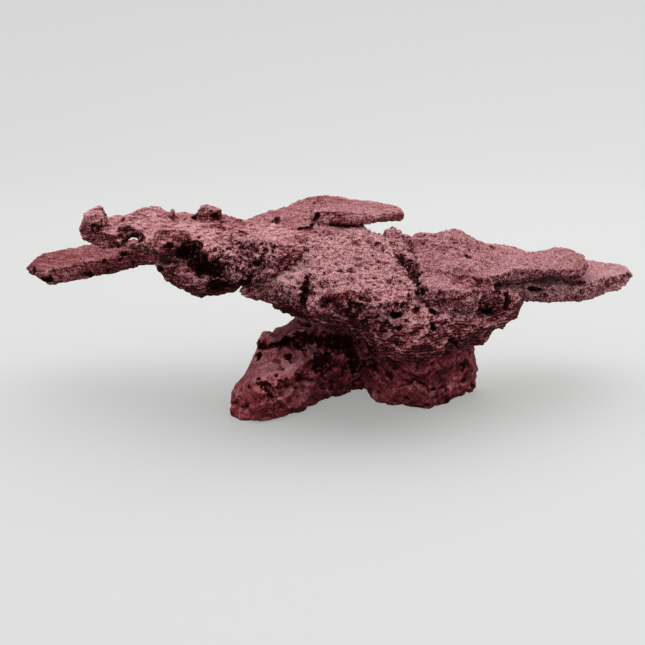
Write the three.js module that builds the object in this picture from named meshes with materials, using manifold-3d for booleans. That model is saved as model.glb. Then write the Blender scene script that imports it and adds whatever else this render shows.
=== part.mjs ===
// A reef rock scape for an aquarium: ten dyed rocks bonded into one free-standing structure.
// Two feet carry a thick core rock, and thin shelf rocks cantilever from the core to both sides and the back.
// Units are millimetres. X runs to the right, Y to the back and Z up. The origin is on the floor, mid-way.
import * as THREE from "three";
import { mergeVertices } from "three/addons/utils/BufferGeometryUtils.js";
import Module from "manifold-3d";

const wasm = await Module();
wasm.setup();

// ---------------------------------------------------------------- driving dimensions
const BOND_GAP = 0.3; // clearance at a bonded joint between two rocks
const WAVE_COUNT = 7; // sine waves in one layer of unevenness
const WAVE_SPREAD = 0.4; // how far a wave's length may differ from the layer's
const WAVE_STEP = 5.7; // how far one wave is out of step with the next, in radians
const GOLDEN_ANGLE = Math.PI * (3 - Math.sqrt(5)); // turns directions so that no two line up

// A rock is one or more forms grown into each other, with lumps added and bites (caves and pits) taken out, and
// is then cut by the rocks that it is bonded to. uneven is the [height, length] of the coarse bumps all over it.
// A form is a row of cross-sections along X. A section is x and then the [y, z] of its four corners: top front,
// top back, underside back, underside front. round says how boxy the form is, from 3 (a boulder) to 10 (a slab
// with square broken edges), and cells how many facets it has along X, Y and Z.
// A lump or a bite is an ellipsoid: [centre, half-sizes].
const ROCKS = [
  {
    name: "core_rock",
    colour: 0xa9777c,
    uneven: [2.4, 38],
    forms: [
      {
        round: 6,
        cells: [13, 10, 3],
        sections: [
          [-62, [-42, 99], [14, 106], [14, 90], [-36, 84]],
          [-50, [-44, 100], [20, 108], [22, 84], [-38, 80]],
          [-38, [-58, 98], [26, 110], [28, 84], [-48, 78]],
          [-24, [-74, 95], [32, 111], [32, 84], [-62, 76]],
          [-6, [-90, 92], [36, 112], [36, 86], [-82, 77]],
          [16, [-96, 91], [38, 112], [38, 86], [-88, 78]],
          [34, [-94, 91], [36, 111], [36, 86], [-88, 79]],
          [46, [-74, 94], [30, 110], [30, 88], [-72, 81]],
          [53, [-58, 96], [20, 109], [20, 90], [-56, 84]],
        ],
      },
      {
        round: 5,
        cells: [15, 8, 4],
        sections: [
          [-64, [-36, 86], [10, 92], [14, 82], [-34, 79]],
          [-50, [-36, 86], [20, 92], [26, 78], [-32, 76]],
          [-38, [-40, 84], [26, 92], [34, 71], [-22, 69]],
          [-26, [-48, 84], [36, 92], [44, 58], [-8, 57]],
          [-8, [-66, 84], [42, 92], [48, 55], [-14, 53]],
          [8, [-78, 82], [44, 92], [50, 55], [-30, 52]],
          [22, [-85, 83], [44, 92], [50, 54], [-62, 51]],
          [34, [-88, 86], [42, 90], [50, 54], [-84, 48]],
          [44, [-88, 86], [40, 90], [50, 54], [-84, 48]],
          [56, [-80, 84], [38, 90], [48, 55], [-76, 49]],
          [72, [-66, 83], [36, 88], [44, 56], [-60, 49]],
          [88, [-52, 84], [32, 87], [38, 58], [-42, 48]],
          [104, [-40, 85], [28, 86], [32, 60], [-30, 55]],
          [116, [-30, 84], [22, 85], [26, 63], [-24, 58]],
          [125, [-20, 83], [16, 84], [18, 68], [-16, 63]],
        ],
      },
    ],
    lumps: [[[38, 20, 102], [13, 13, 10]]],
    bites: [
      [[-22, -78, 92], [2.6, 18, 9]], // upright slit in the front left of the slab
      [[5, -94, 84], [13, 14, 3.6]], // long mouth under the slab's front edge
      [[33, -94, 80], [4.5, 12, 4]],
      [[55, -86, 81], [6, 12, 3]],
      [[92, -54, 73], [7, 16, 6]],
      [[93, -52, 85], [9, 16, 2.6]],
      [[68, -72, 57], [4.5, 12, 4]],
      [[25, -14, 112], [8, 11, 5]], // porous hollow in the top
      [[36, -98, 66], [15, 13, 8]], // bowl in the front of the keel
    ],
    bondedTo: [],
  },
  {
    name: "foot_left",
    colour: 0x8d5a62,
    uneven: [2.4, 34],
    forms: [
      {
        round: 4.5,
        cells: [10, 7, 5],
        sections: [
          [-69, [-42, 21], [-24, 24], [-22, -6], [-38, -6]],
          [-60, [-49, 26], [-8, 31], [-4, -6], [-47, -6]],
          [-51, [-51, 30], [6, 42], [12, -6], [-51, -6]],
          [-40, [-50, 33], [20, 51], [22, -6], [-45, -6]],
          [-28, [-43, 35], [34, 57], [34, -6], [-27, -6]],
          [-12, [-30, 37], [44, 58], [40, -6], [-6, -6]],
          [8, [-12, 38], [46, 57], [42, -6], [8, -6]],
          [22, [0, 38], [44, 52], [40, -6], [14, -6]],
        ],
      },
    ],
    lumps: [[[-45, -8, 39], [9, 12, 11]]],
    bites: [
      [[-12, -32, 31], [10, 14, 7]], // hollow in the shaded face
      [[-24, -14, 49], [18, 14, 6]], // cave under the core, in two
      [[6, -12, 42], [15, 14, 6]],
      [[6, -14, 22], [4, 12, 5]],
    ],
    bondedTo: ["core_rock"],
  },
  {
    name: "foot_right",
    colour: 0x84545f,
    uneven: [2.4, 36],
    forms: [
      {
        round: 5,
        cells: [9, 7, 5],
        sections: [
          [16, [-6, 44], [46, 50], [44, -6], [5, -6]],
          [34, [-27, 48], [50, 52], [46, -6], [-6, -6]],
          [50, [-34, 49], [50, 53], [44, -6], [-18, -6]],
          [62, [-34, 48], [48, 53], [40, -6], [-25, -6]],
          [73, [-29, 47], [44, 52], [36, -6], [-4, -6]],
          [84, [-20, 44], [40, 50], [32, -6], [6, -6]],
          [95, [0, 33], [28, 40], [26, -3], [16, -3]],
        ],
      },
    ],
    lumps: [],
    bites: [
      [[29, -32, 24], [7, 12, 5]],
      [[84, -20, 25], [4, 12, 4]],
    ],
    bondedTo: ["core_rock", "foot_left"],
  },
  {
    name: "arm_left",
    colour: 0xa8747a,
    uneven: [2, 25],
    forms: [
      {
        round: 4.5,
        cells: [16, 6, 3],
        sections: [
          [-160, [-50, 132], [-30, 133], [-28, 120], [-48, 117]],
          [-152, [-54, 134], [-26, 135], [-24, 116], [-52, 112]],
          [-142, [-55, 125], [-22, 128], [-18, 117], [-52, 112]],
          [-132, [-58, 127], [-12, 134], [-8, 118], [-54, 112]],
          [-120, [-64, 124], [-6, 136], [-2, 112], [-56, 111]],
          [-106, [-68, 120], [0, 131], [6, 104], [-60, 107]],
          [-90, [-71, 116], [4, 133], [14, 100], [-60, 103]],
          [-74, [-69, 116], [6, 129], [18, 94], [-58, 97]],
          [-58, [-61, 119], [10, 122], [20, 88], [-54, 87]],
          [-42, [-51, 119], [16, 120], [20, 92], [-48, 92]],
          [-22, [-38, 114], [16, 115], [16, 100], [-34, 100]],
        ],
      },
      {
        round: 3.5,
        cells: [8, 6, 3],
        sections: [
          [-118, [-48, 108], [-12, 110], [-10, 100], [-44, 101]],
          [-109, [-58, 110], [0, 112], [6, 95], [-48, 92]],
          [-98, [-62, 108], [10, 110], [14, 91], [-50, 86]],
          [-86, [-60, 106], [14, 108], [18, 87], [-50, 82]],
          [-74, [-56, 104], [18, 106], [20, 86], [-50, 82]],
          [-62, [-52, 102], [20, 104], [20, 87], [-46, 87]],
          [-48, [-44, 100], [20, 102], [20, 88], [-40, 86]],
        ],
      },
    ],
    lumps: [
      [[-153, -42, 131], [10, 12, 8]], // knob that ends the arm
      [[-103, -60, 119], [11, 11, 8]], // lobe that hangs over the caves
      [[-85, -9, 129], [8, 10, 7]], // knob on the crest
    ],
    bites: [
      [[-131, -66, 123], [15, 22, 7]], // scoop under the crest
      [[-128, -42, 118], [6, 30, 3]], // gap that the light shows through
      [[-92, -64, 112], [11, 22, 8]], // main cave, which slants down to the right
      [[-80, -64, 105], [9, 22, 6]],
      [[-78, -56, 90], [8, 17, 5]],
      [[-62, -54, 93], [10, 16, 4.5]],
      [[-38, -48, 116], [6, 9, 5]], // porous hollow where the arm meets the core
    ],
    bondedTo: ["core_rock"],
  },
  {
    name: "shelf_right",
    colour: 0xa9727a,
    uneven: [1.9, 30],
    forms: [
      {
        round: 6,
        cells: [13, 7, 2],
        sections: [
          [41, [-34, 105], [18, 112], [20, 94], [-30, 92]],
          [51, [-54, 100], [24, 115], [28, 90], [-54, 88]],
          [64, [-58, 99], [22, 116], [28, 88], [-56, 87]],
          [78, [-52, 98], [20, 117], [26, 88], [-50, 86]],
          [94, [-40, 97], [26, 107], [28, 88], [-38, 87]],
          [112, [-26, 97], [32, 102], [32, 90], [-25, 87]],
          [134, [-22, 96], [38, 99], [36, 90], [-21, 87]],
          [154, [-17, 96], [40, 98], [38, 89], [-16, 88]],
          [169, [-8, 96], [32, 97], [30, 90], [-7, 89]],
        ],
      },
      {
        round: 5,
        cells: [5, 4, 2],
        sections: [
          [45, [-62, 94], [-30, 98], [-30, 84], [-60, 82]],
          [54, [-71, 96], [-26, 102], [-26, 82], [-68, 79]],
          [68, [-70, 96], [-24, 102], [-24, 82], [-66, 79]],
          [86, [-50, 95], [-20, 98], [-20, 84], [-48, 82]],
        ],
      },
    ],
    lumps: [],
    bites: [[[44, -38, 103], [6, 26, 9]]], // crevice beside the core's slab
    bondedTo: ["core_rock"],
  },
  {
    name: "shelf_right_back",
    colour: 0xa46c76,
    uneven: [1.3, 40],
    forms: [
      {
        round: 9,
        cells: [9, 6, 2],
        sections: [
          [100, [-4, 82], [60, 83], [60, 69], [-4, 68]],
          [124, [-8, 82], [66, 83], [66, 70], [-6, 67]],
          [146, [-8, 82], [74, 83], [73, 72], [-6, 67]],
          [168, [0, 82], [78, 82], [76, 72], [0, 67]],
          [188, [16, 82], [76, 82], [74, 72], [16, 70]],
          [208, [40, 82], [66, 82], [66, 74], [40, 74]],
        ],
      },
    ],
    lumps: [],
    bites: [
      [[130, -8, 77], [7, 14, 2.6]],
      [[162, -4, 79], [5, 12, 1.8]],
    ],
    bondedTo: ["core_rock", "shelf_right"],
  },
  {
    name: "shelf_left_back",
    colour: 0x9c6870,
    uneven: [1.3, 36],
    forms: [
      {
        round: 9,
        cells: [11, 6, 2],
        sections: [
          [-210, [2, 92], [22, 93], [22, 87], [2, 87]],
          [-201, [-4, 92], [42, 97], [42, 87], [-4, 86]],
          [-195, [-4, 91], [48, 97], [48, 87], [-3, 79]],
          [-180, [2, 93], [54, 98], [54, 87], [2, 80]],
          [-158, [14, 96], [60, 101], [60, 89], [14, 83]],
          [-134, [22, 99], [62, 103], [62, 91], [22, 87]],
          [-110, [12, 101], [58, 104], [58, 92], [12, 90]],
          [-88, [0, 101], [46, 103], [46, 92], [0, 91]],
        ],
      },
    ],
    lumps: [[[-142, 26, 98], [6, 7, 5]]],
    bites: [],
    bondedTo: ["core_rock", "arm_left"],
  },
  {
    name: "shelf_back_left",
    colour: 0xa87078,
    uneven: [1.4, 34],
    forms: [
      {
        round: 8,
        cells: [9, 6, 2],
        sections: [
          [-84, [12, 112], [44, 112], [44, 103], [12, 100]],
          [-66, [8, 112], [62, 115], [62, 105], [8, 100]],
          [-46, [10, 108], [78, 121], [78, 110], [10, 98]],
          [-26, [14, 106], [86, 128], [86, 116], [14, 96]],
          [-11, [20, 108], [88, 131], [88, 119], [20, 98]],
        ],
      },
    ],
    lumps: [],
    bites: [[[-44, 52, 114], [3.5, 5, 4]]],
    bondedTo: ["core_rock", "arm_left"],
  },
  {
    name: "wedge_back",
    colour: 0xa87078,
    uneven: [1, 26],
    forms: [
      {
        round: 7,
        cells: [5, 4, 2],
        sections: [
          [-18, [28, 111], [66, 112], [66, 102], [28, 102]],
          [4, [26, 111], [68, 112], [68, 102], [26, 102]],
          [20, [30, 112], [62, 113], [62, 104], [30, 104]],
        ],
      },
    ],
    lumps: [],
    bites: [],
    bondedTo: ["core_rock", "shelf_back_left"],
  },
  {
    name: "shelf_back_right",
    colour: 0xae7680,
    uneven: [1.1, 36],
    forms: [
      {
        round: 10,
        cells: [9, 6, 2],
        sections: [
          [-20, [41, 123], [90, 128], [90, 117], [41, 111]],
          [8, [40, 122], [92, 127], [92, 116], [40, 111]],
          [28, [44, 122], [88, 124], [88, 115], [44, 113]],
          [47, [54, 120], [78, 121], [78, 114], [54, 113]],
        ],
      },
    ],
    lumps: [],
    bites: [],
    bondedTo: ["core_rock", "shelf_back_left", "wedge_back"],
  },
];

// ---------------------------------------------------------------- the form of a rock

// The value of a list of numbers between stations: a cubic through them, with slopes taken from the neighbours.
function between(stations, rows, x) {
  const last = stations.length - 1;
  let i = 0;
  while (i < last - 1 && x > stations[i + 1]) i++;
  const slope = (k, column) => {
    const low = Math.max(k - 1, 0);
    const high = Math.min(k + 1, last);
    return (rows[high][column] - rows[low][column]) / (stations[high] - stations[low]);
  };
  const step = stations[i + 1] - stations[i];
  const t = Math.min(Math.max((x - stations[i]) / step, 0), 1);
  return rows[i].map((start, column) => {
    const end = rows[i + 1][column];
    const a = slope(i, column) * step;
    const b = slope(i + 1, column) * step;
    const leaving = start * (1 + 2 * t) + a * t;
    const arriving = end * (3 - 2 * t) - b * (1 - t);
    return leaving * (1 - t) ** 2 + arriving * t ** 2;
  });
}

// Smooth unevenness from about -1 to 1: sine waves of about one length that run in scattered directions.
// Each seed gives a layer of its own.
function waves(point, length, seed) {
  let sum = 0;
  for (let i = 0; i < WAVE_COUNT; i++) {
    const rise = 1 - (2 * i + 1) / WAVE_COUNT;
    const flat = Math.sqrt(1 - rise * rise);
    const turn = GOLDEN_ANGLE * (i + seed * WAVE_COUNT);
    const along = point.x * flat * Math.cos(turn) + point.y * flat * Math.sin(turn) + point.z * rise;
    const ownLength = length / (1 + WAVE_SPREAD * Math.sin(turn * seed));
    sum += Math.sin((2 * Math.PI * along) / ownLength + WAVE_STEP * (i + seed));
  }
  return sum / Math.sqrt(WAVE_COUNT);
}

// A unit box's facets rounded to a ball pressed square and stretched through a form's sections.
function formGeometry({ sections, round, cells }) {
  const stations = sections.map(([x]) => x);
  const corners = sections.map(([, ...four]) => four.flat());
  const geometry = mergeVertices(bare(new THREE.BoxGeometry(2, 2, 2, ...cells)));
  const position = geometry.getAttribute("position");
  const point = new THREE.Vector3();
  const { lerp, mapLinear } = THREE.MathUtils;
  for (let i = 0; i < position.count; i++) {
    point.fromBufferAttribute(position, i);
    const powers = point.toArray().map((value) => Math.abs(value) ** round);
    point.divideScalar((powers[0] + powers[1] + powers[2]) ** (1 / round));
    const x = mapLinear(point.x, -1, 1, stations[0], stations[stations.length - 1]);
    const [yTF, zTF, yTB, zTB, yUB, zUB, yUF, zUF] = between(stations, corners, x);
    const back = (1 + point.y) / 2;
    const up = (1 + point.z) / 2;
    const y = lerp(lerp(yUF, yUB, back), lerp(yTF, yTB, back), up);
    const z = lerp(lerp(zUF, zUB, back), lerp(zTF, zTB, back), up);
    position.setXYZ(i, x, y, z);
  }
  return geometry;
}

// An ellipsoid of 80 facets.
function ballGeometry([centre, halfSizes]) {
  const ball = new THREE.IcosahedronGeometry(1, 1);
  ball.scale(...halfSizes);
  ball.translate(...centre);
  return mergeVertices(bare(ball));
}

// Moves every corner by the rock's waves, with waves of their own for X, Y and Z.
function unevened(geometry, [height, length]) {
  const position = geometry.getAttribute("position");
  const point = new THREE.Vector3();
  for (let i = 0; i < position.count; i++) {
    point.fromBufferAttribute(position, i);
    const shift = [1, 2, 3].map((seed) => height * waves(point, length, seed));
    position.setXYZ(i, point.x + shift[0], point.y + shift[1], point.z + shift[2]);
  }
  return geometry;
}

// A copy with every corner moved out by the bond gap.
function grown(geometry) {
  const copy = geometry.clone();
  copy.computeVertexNormals();
  const position = copy.getAttribute("position");
  const normal = copy.getAttribute("normal");
  const point = new THREE.Vector3();
  const out = new THREE.Vector3();
  for (let i = 0; i < position.count; i++) {
    point.fromBufferAttribute(position, i);
    point.addScaledVector(out.fromBufferAttribute(normal, i), BOND_GAP);
    position.setXYZ(i, point.x, point.y, point.z);
  }
  return bare(copy);
}

// ---------------------------------------------------------------- solids

function bare(geometry) {
  for (const name of ["normal", "uv"]) geometry.deleteAttribute(name);
  return geometry;
}

function solidOf(geometry) {
  return new wasm.Manifold(
    new wasm.Mesh({
      numProp: 3,
      vertProperties: new Float32Array(geometry.getAttribute("position").array),
      triVerts: new Uint32Array(geometry.index.array),
    }),
  );
}

function joined(geometries) {
  return geometries.map(solidOf).reduce((whole, solid) => whole.add(solid));
}

function geometryOf(solid) {
  const mesh = solid.getMesh();
  const geometry = new THREE.BufferGeometry();
  geometry.setAttribute("position", new THREE.BufferAttribute(mesh.vertProperties, 3));
  geometry.setIndex(new THREE.BufferAttribute(mesh.triVerts, 1));
  geometry.computeVertexNormals();
  return geometry;
}

// Everything below the floor, Z = 0.
function underfloor() {
  const side = 600;
  const block = new THREE.BoxGeometry(side, side, side);
  block.translate(0, 0, -side / 2);
  return solidOf(mergeVertices(bare(block)));
}

// The largest body, where a cut has left chips beside it.
function largest(solid) {
  return solid.decompose().sort((a, b) => b.volume() - a.volume())[0];
}

const scape = new THREE.Group();
const cutters = {};
for (const { name, colour, uneven, forms, lumps, bites, bondedTo } of ROCKS) {
  const whole = [...forms.map(formGeometry), ...lumps.map(ballGeometry)];
  const added = whole.map((shape) => unevened(shape, uneven));
  const taken = bites.map((bite) => unevened(ballGeometry(bite), uneven));
  cutters[name] = joined(added.map(grown));
  let solid = joined(added);
  for (const neighbour of bondedTo) solid = solid.subtract(cutters[neighbour]);
  for (const bite of taken) solid = solid.subtract(solidOf(bite));
  solid = largest(solid.subtract(underfloor()));
  const material = new THREE.MeshStandardMaterial({ color: colour, roughness: 0.95, metalness: 0 });
  const mesh = new THREE.Mesh(geometryOf(solid), material);
  mesh.name = name;
  scape.add(mesh);
}

export default scape;
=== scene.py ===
"""A scape of dyed, porous reef rock: the stone skins of its ten bonded rocks, a floor, lights and a camera.

Each rock starts from its solid in the frame. The solid gets an even skin of small quads, and the skin is
carved by noise that fills space, worked out with numpy on whole arrays: crags, ledges, pits, pores, crumbs
and strata. Lengths are in metres, in the frame of the solids.
"""

import math

import bpy
import numpy as np
from bpy.props import FloatProperty, FloatVectorProperty, PointerProperty
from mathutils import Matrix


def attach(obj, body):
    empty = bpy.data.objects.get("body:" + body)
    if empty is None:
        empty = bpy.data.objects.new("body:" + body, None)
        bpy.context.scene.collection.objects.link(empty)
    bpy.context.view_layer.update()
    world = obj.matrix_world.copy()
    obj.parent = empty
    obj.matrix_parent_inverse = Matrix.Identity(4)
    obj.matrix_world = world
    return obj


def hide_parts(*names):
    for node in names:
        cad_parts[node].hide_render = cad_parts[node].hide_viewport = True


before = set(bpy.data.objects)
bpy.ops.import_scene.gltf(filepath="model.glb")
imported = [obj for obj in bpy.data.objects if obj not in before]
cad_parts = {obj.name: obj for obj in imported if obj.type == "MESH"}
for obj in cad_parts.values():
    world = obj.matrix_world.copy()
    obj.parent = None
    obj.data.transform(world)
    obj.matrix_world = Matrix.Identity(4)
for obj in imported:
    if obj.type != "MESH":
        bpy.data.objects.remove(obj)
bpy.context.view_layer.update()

bl_info = {
    "name": "Reef Rock Scape",
    "version": (1, 0, 0),
    "blender": (4, 5, 0),
    "location": "3D View > Sidebar > Reef Rock",
    "description": "Carves the stone skins of a bonded reef rock scape and lights them on a pale floor",
    "category": "Add Mesh",
}

MM = 0.001
BACK, UP = 1, 2  # the indices of Y and Z

# ---------------------------------------------------------------- settings


class ReefSkinSettings(bpy.types.PropertyGroup):
    """How fine and how deep the stone is carved."""

    step: FloatProperty(
        name="Skin step", description="Side of the quads in a rock's skin", default=0.8 * MM, unit="LENGTH"
    )
    relief: FloatProperty(
        name="Relief", description="Depth of all the carving, as a share of the real stone's", default=1.0
    )


class ReefColourSettings(bpy.types.PropertyGroup):
    """The dye of the stone, the dust on it, and the painted shade in its pits and hollows."""

    dust: FloatVectorProperty(
        name="Dust", description="Chalky crests that face up", subtype="COLOR", default=(0.9, 0.52, 0.535)
    )
    rose: FloatVectorProperty(
        name="Rose", description="Thin dust over the dye", subtype="COLOR", default=(0.36, 0.098, 0.108)
    )
    dye: FloatVectorProperty(
        name="Dye", description="Open faces of the stone", subtype="COLOR", default=(0.165, 0.027, 0.032)
    )
    # Painted shade: near black, standing for the shade inside pits, pores and hollows.
    deep: FloatVectorProperty(
        name="Painted pit shade", description="Inside pits and pores", subtype="COLOR", default=(0.018, 0.0006, 0.001)
    )


class ReefStageSettings(bpy.types.PropertyGroup):
    """The floor, the lights and the camera."""

    floor: FloatVectorProperty(
        name="Floor",
        description="Colour of the seamless floor",
        subtype="COLOR",
        default=(0.357, 0.3615, 0.357),
    )
    key: FloatProperty(
        name="Key light", description="Power of the large overhead light", default=28.0, unit="POWER"
    )
    sky: FloatProperty(name="Sky", description="Strength of the even light from all round", default=0.7)


# ---------------------------------------------------------------- noise that fills space

TABLE = 256
CHANCE = np.random.default_rng(8)
ORDER = CHANCE.permutation(TABLE)
SLOPES = CHANCE.normal(size=(TABLE, 3))
SLOPES /= np.linalg.norm(SLOPES, axis=1)[:, None]
SHIFT = np.array([17.31, 43.77, 71.93])  # how far apart the noises of two seeds lie
NOISE_GAIN = 1.6  # brings the noise to about -1 to 1
CREASE = 0.35  # strength of a layer of crags in the hollows of the layer before
CREST_MEAN = 0.3  # taken off the crags, so that they don't swell the stone


def noise(points, length, seed):
    """Smooth noise from about -1 to 1. Each corner of a lattice of cubes has a slope, picked from a table by
    its shuffled coordinates. A point blends its eight corners' slopes, each times the way from that corner,
    by the quintic 6t^5 - 15t^4 + 10t^3."""
    place = points / length + seed * SHIFT
    cell = np.floor(place).astype(np.int64)
    part = (place - cell).T
    ease = part**3 * (part * (part * 6 - 15) + 10)
    x, y, z = cell.T
    total = np.zeros(len(points))
    for i in (0, 1):
        weight_x = ease[0] if i else 1 - ease[0]
        order_x = ORDER[(x + i) % TABLE]
        for j in (0, 1):
            weight_y = weight_x * (ease[1] if j else 1 - ease[1])
            order_y = ORDER[(order_x + y + j) % TABLE]
            for k in (0, 1):
                weight = weight_y * (ease[2] if k else 1 - ease[2])
                a, b, c = SLOPES[ORDER[(order_y + z + k) % TABLE]].T
                total += weight * (a * (part[0] - i) + b * (part[1] - j) + c * (part[2] - k))
    return NOISE_GAIN * total


def rough(points, length, layers, seed, fade=0.55):
    """Rough noise: the sum of layers of noise, each half as long as the last and `fade` times as strong."""
    return sum(fade**i * noise(points, length / 2**i, seed + i) for i in range(layers))


def swirled(points, length, shift, seed):
    """The points moved by up to about `shift` along each axis, by smooth noise of the given length."""
    return points + shift * np.stack([noise(points, length, seed + i) for i in range(3)], axis=1)


def ramp(values, low, high):
    """0 below low, 1 above high, and an S curve 3t^2 - 2t^3 between."""
    t = np.clip((values - low) / (high - low), 0, 1)
    return t * t * (3 - 2 * t)


def crags(points, length, layers, seed, fade=0.6):
    """Sharp crests and round hollows from about -0.5 to 1: layers of (1 - 2|noise|) squared, each half as
    long as the last, and weaker in the hollows of the layer before."""
    total = np.zeros(len(points))
    weight = np.ones(len(points))
    for i in range(layers):
        crest = (1 - 2 * np.abs(noise(points, length / 2**i, seed + i))).clip(0, 1) ** 2
        total += weight * fade**i * (crest - CREST_MEAN)
        weight = CREASE + (1 - CREASE) * crest
    return total


def strata(points, thickness, seed):
    """Thin wavy layers from 0 to 1, as swirling level lines: the sine of each point's height, which wide
    noise bends by several layers, squared so that the crests are narrow."""
    broad = 9 * MM * noise(points, 34 * MM, seed)
    slight = 2.5 * MM * noise(points, 9 * MM, seed + 1)
    return (0.5 + 0.5 * np.sin((points[:, UP] + (broad + slight)) * 2 * math.pi / thickness)) ** 2


# ---------------------------------------------------------------- skins

SAME_PLACE = 0.01 * MM  # corners of the solids' triangles that are closer than this are one corner


def array_of(items, name, each, kind=float):
    """A value of all of a mesh's points, edges or corners, as rows of `each` numbers."""
    values = np.empty(len(items) * each, dtype=kind)
    items.foreach_get(name, values)
    return values.reshape(-1, each)


def triangles_of(mesh):
    """The corners of a mesh's triangles, a row of three for each."""
    return array_of(mesh.loops, "vertex_index", 1, np.int64).reshape(-1, 3)


class Skin:
    """A closed skin of small quads: its points, edges and outward normals as whole arrays."""

    def __init__(self, mesh):
        self.mesh = mesh
        self.read()

    def read(self):
        """Takes the arrays from the mesh."""
        self.points = array_of(self.mesh.vertices, "co", 3)
        self.edges = array_of(self.mesh.edges, "vertices", 2, np.int64)
        self.normals = array_of(self.mesh.vertex_normals, "vector", 3)

    def write(self):
        """Puts the points into the mesh and reads its new normals."""
        self.mesh.vertices.foreach_set("co", self.points.ravel())
        self.mesh.update()
        self.read()

    def averaged(self, values, turns):
        """Values at the points, each turn replaced by the mean of each point's neighbours along its edges."""
        count = len(self.points)
        a, b = self.edges.T
        degree = np.bincount(a, minlength=count) + np.bincount(b, minlength=count)
        columns = values.reshape(count, -1)
        for _ in range(turns):
            columns = np.stack(
                [
                    (np.bincount(a, column[b], count) + np.bincount(b, column[a], count)) / degree
                    for column in columns.T
                ],
                axis=1,
            )
        return columns.reshape(values.shape)

    def smooth(self, turns, pull=0.6, push=-0.62):
        """Takes the facets out and keeps the size: each turn pulls the points towards their neighbours' mean
        and then pushes them a little more the other way."""
        for _ in range(turns):
            for share in (pull, push):
                self.points = self.points + share * (self.averaged(self.points, 1) - self.points)
        self.write()

    def raise_by(self, heights):
        """Moves each point out along its normal."""
        self.points = self.points + heights[:, None] * self.normals
        self.write()

    def hollow(self, turns):
        """How far each point lies below the mean of its surroundings, in metres, along its normal."""
        away = self.averaged(self.points, turns) - self.points
        return np.einsum("ij,ij->i", away, self.normals)

    def keep(self, name, values):
        """Keeps values as an attribute that materials read."""
        attribute = self.mesh.attributes.new(name, "FLOAT", "POINT")
        attribute.data.foreach_set("value", np.asarray(values, dtype=np.float32))


def added(name, data):
    """A new object in the scene."""
    thing = bpy.data.objects.new(name, data)
    bpy.context.scene.collection.objects.link(thing)
    return thing


def shown_mesh(mesh, kind, **modifier_settings):
    """The mesh that a modifier makes of a mesh, which is used up."""
    holder = added("holder", mesh)
    modifier = holder.modifiers.new("carve", kind)
    for name, value in modifier_settings.items():
        setattr(modifier, name, value)
    shown = holder.evaluated_get(bpy.context.evaluated_depsgraph_get())
    result = bpy.data.meshes.new_from_object(shown)
    bpy.data.objects.remove(holder)
    bpy.data.meshes.remove(mesh)
    return result


def remeshed(mesh, step):
    """A new mesh with an even skin of quads of the given side over closed meshes, which it joins."""
    return shown_mesh(mesh, "REMESH", mode="VOXEL", voxel_size=step)


def cut(mesh, cutters):
    """A mesh less the cutters' mesh."""
    tool = added("cutters", cutters)
    result = shown_mesh(mesh, "BOOLEAN", operation="DIFFERENCE", solver="MANIFOLD", object=tool)
    bpy.data.objects.remove(tool)
    bpy.data.meshes.remove(cutters)
    return result


def merged_copy(node):
    """A copy of a solid's mesh whose loose triangles share their corners."""
    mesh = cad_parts[node].data
    points = array_of(mesh.vertices, "co", 3)
    places = np.round(points / SAME_PLACE).astype(np.int64)
    _, first, same = np.unique(places, axis=0, return_index=True, return_inverse=True)
    triangles = same.ravel()[triangles_of(mesh)]
    a, b, c = triangles.T
    triangles = triangles[(a != b) & (b != c) & (a != c)]
    return mesh_of(node, points[first], triangles)


def with_lumps(mesh, rows, seed):
    """A mesh and the ragged balls of its lumps in one mesh. The next even skin joins them."""
    if not rows:
        return mesh
    points, faces = ragged_balls(*placed_balls(rows), seed)
    faces = np.vstack([triangles_of(mesh), faces + len(mesh.vertices)])
    points = np.vstack([array_of(mesh.vertices, "co", 3), points])
    bpy.data.meshes.remove(mesh)
    return mesh_of("lumpy", points, faces)


def mesh_of(name, points, faces):
    """A mesh of an array of points and an array of faces."""
    mesh = bpy.data.meshes.new(name)
    mesh.from_pydata(points.tolist(), [], faces.tolist())
    return mesh


# ---------------------------------------------------------------- hollows and pores

BALL_RINGS = 9
BALL_SIDES = 12
RAGGED_LENGTH = 1.1  # length of the unevenness of a ball, in its least half sizes
RAGGED_DEPTH = 0.75  # and its depth, as a share of the way from the centre
PORE_BALLS = 3
PORE_SINK = 0.35  # how far a pore's centre lies under the skin, in radii
PORE_STRETCH = (0.75, 0.6)  # a pore's half sizes, in radii: the least, and how much more by chance
SIDE_PLACE = 0.95  # how far from it, in radii, the centres of its two smaller balls lie
SIDE_SIZE = (0.45, 0.4)  # and their radii, in its own, in the same form as its half sizes
SIDE_STRETCH = (0.7, 0.6)
TURN_SEED = 50
DEEP_NOISE = (3 * MM, 3, 91, 0.75)  # length, layers, seed and fade of the ragged rim of a hollow's painted shade
DEEP_RAGGED = 0.55
DEEP_RIM = (0.75, 1.35)  # the painted shade fades out between these distances, in half sizes
DEEP_REACH = 1.5  # and is gone beyond this one


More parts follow.
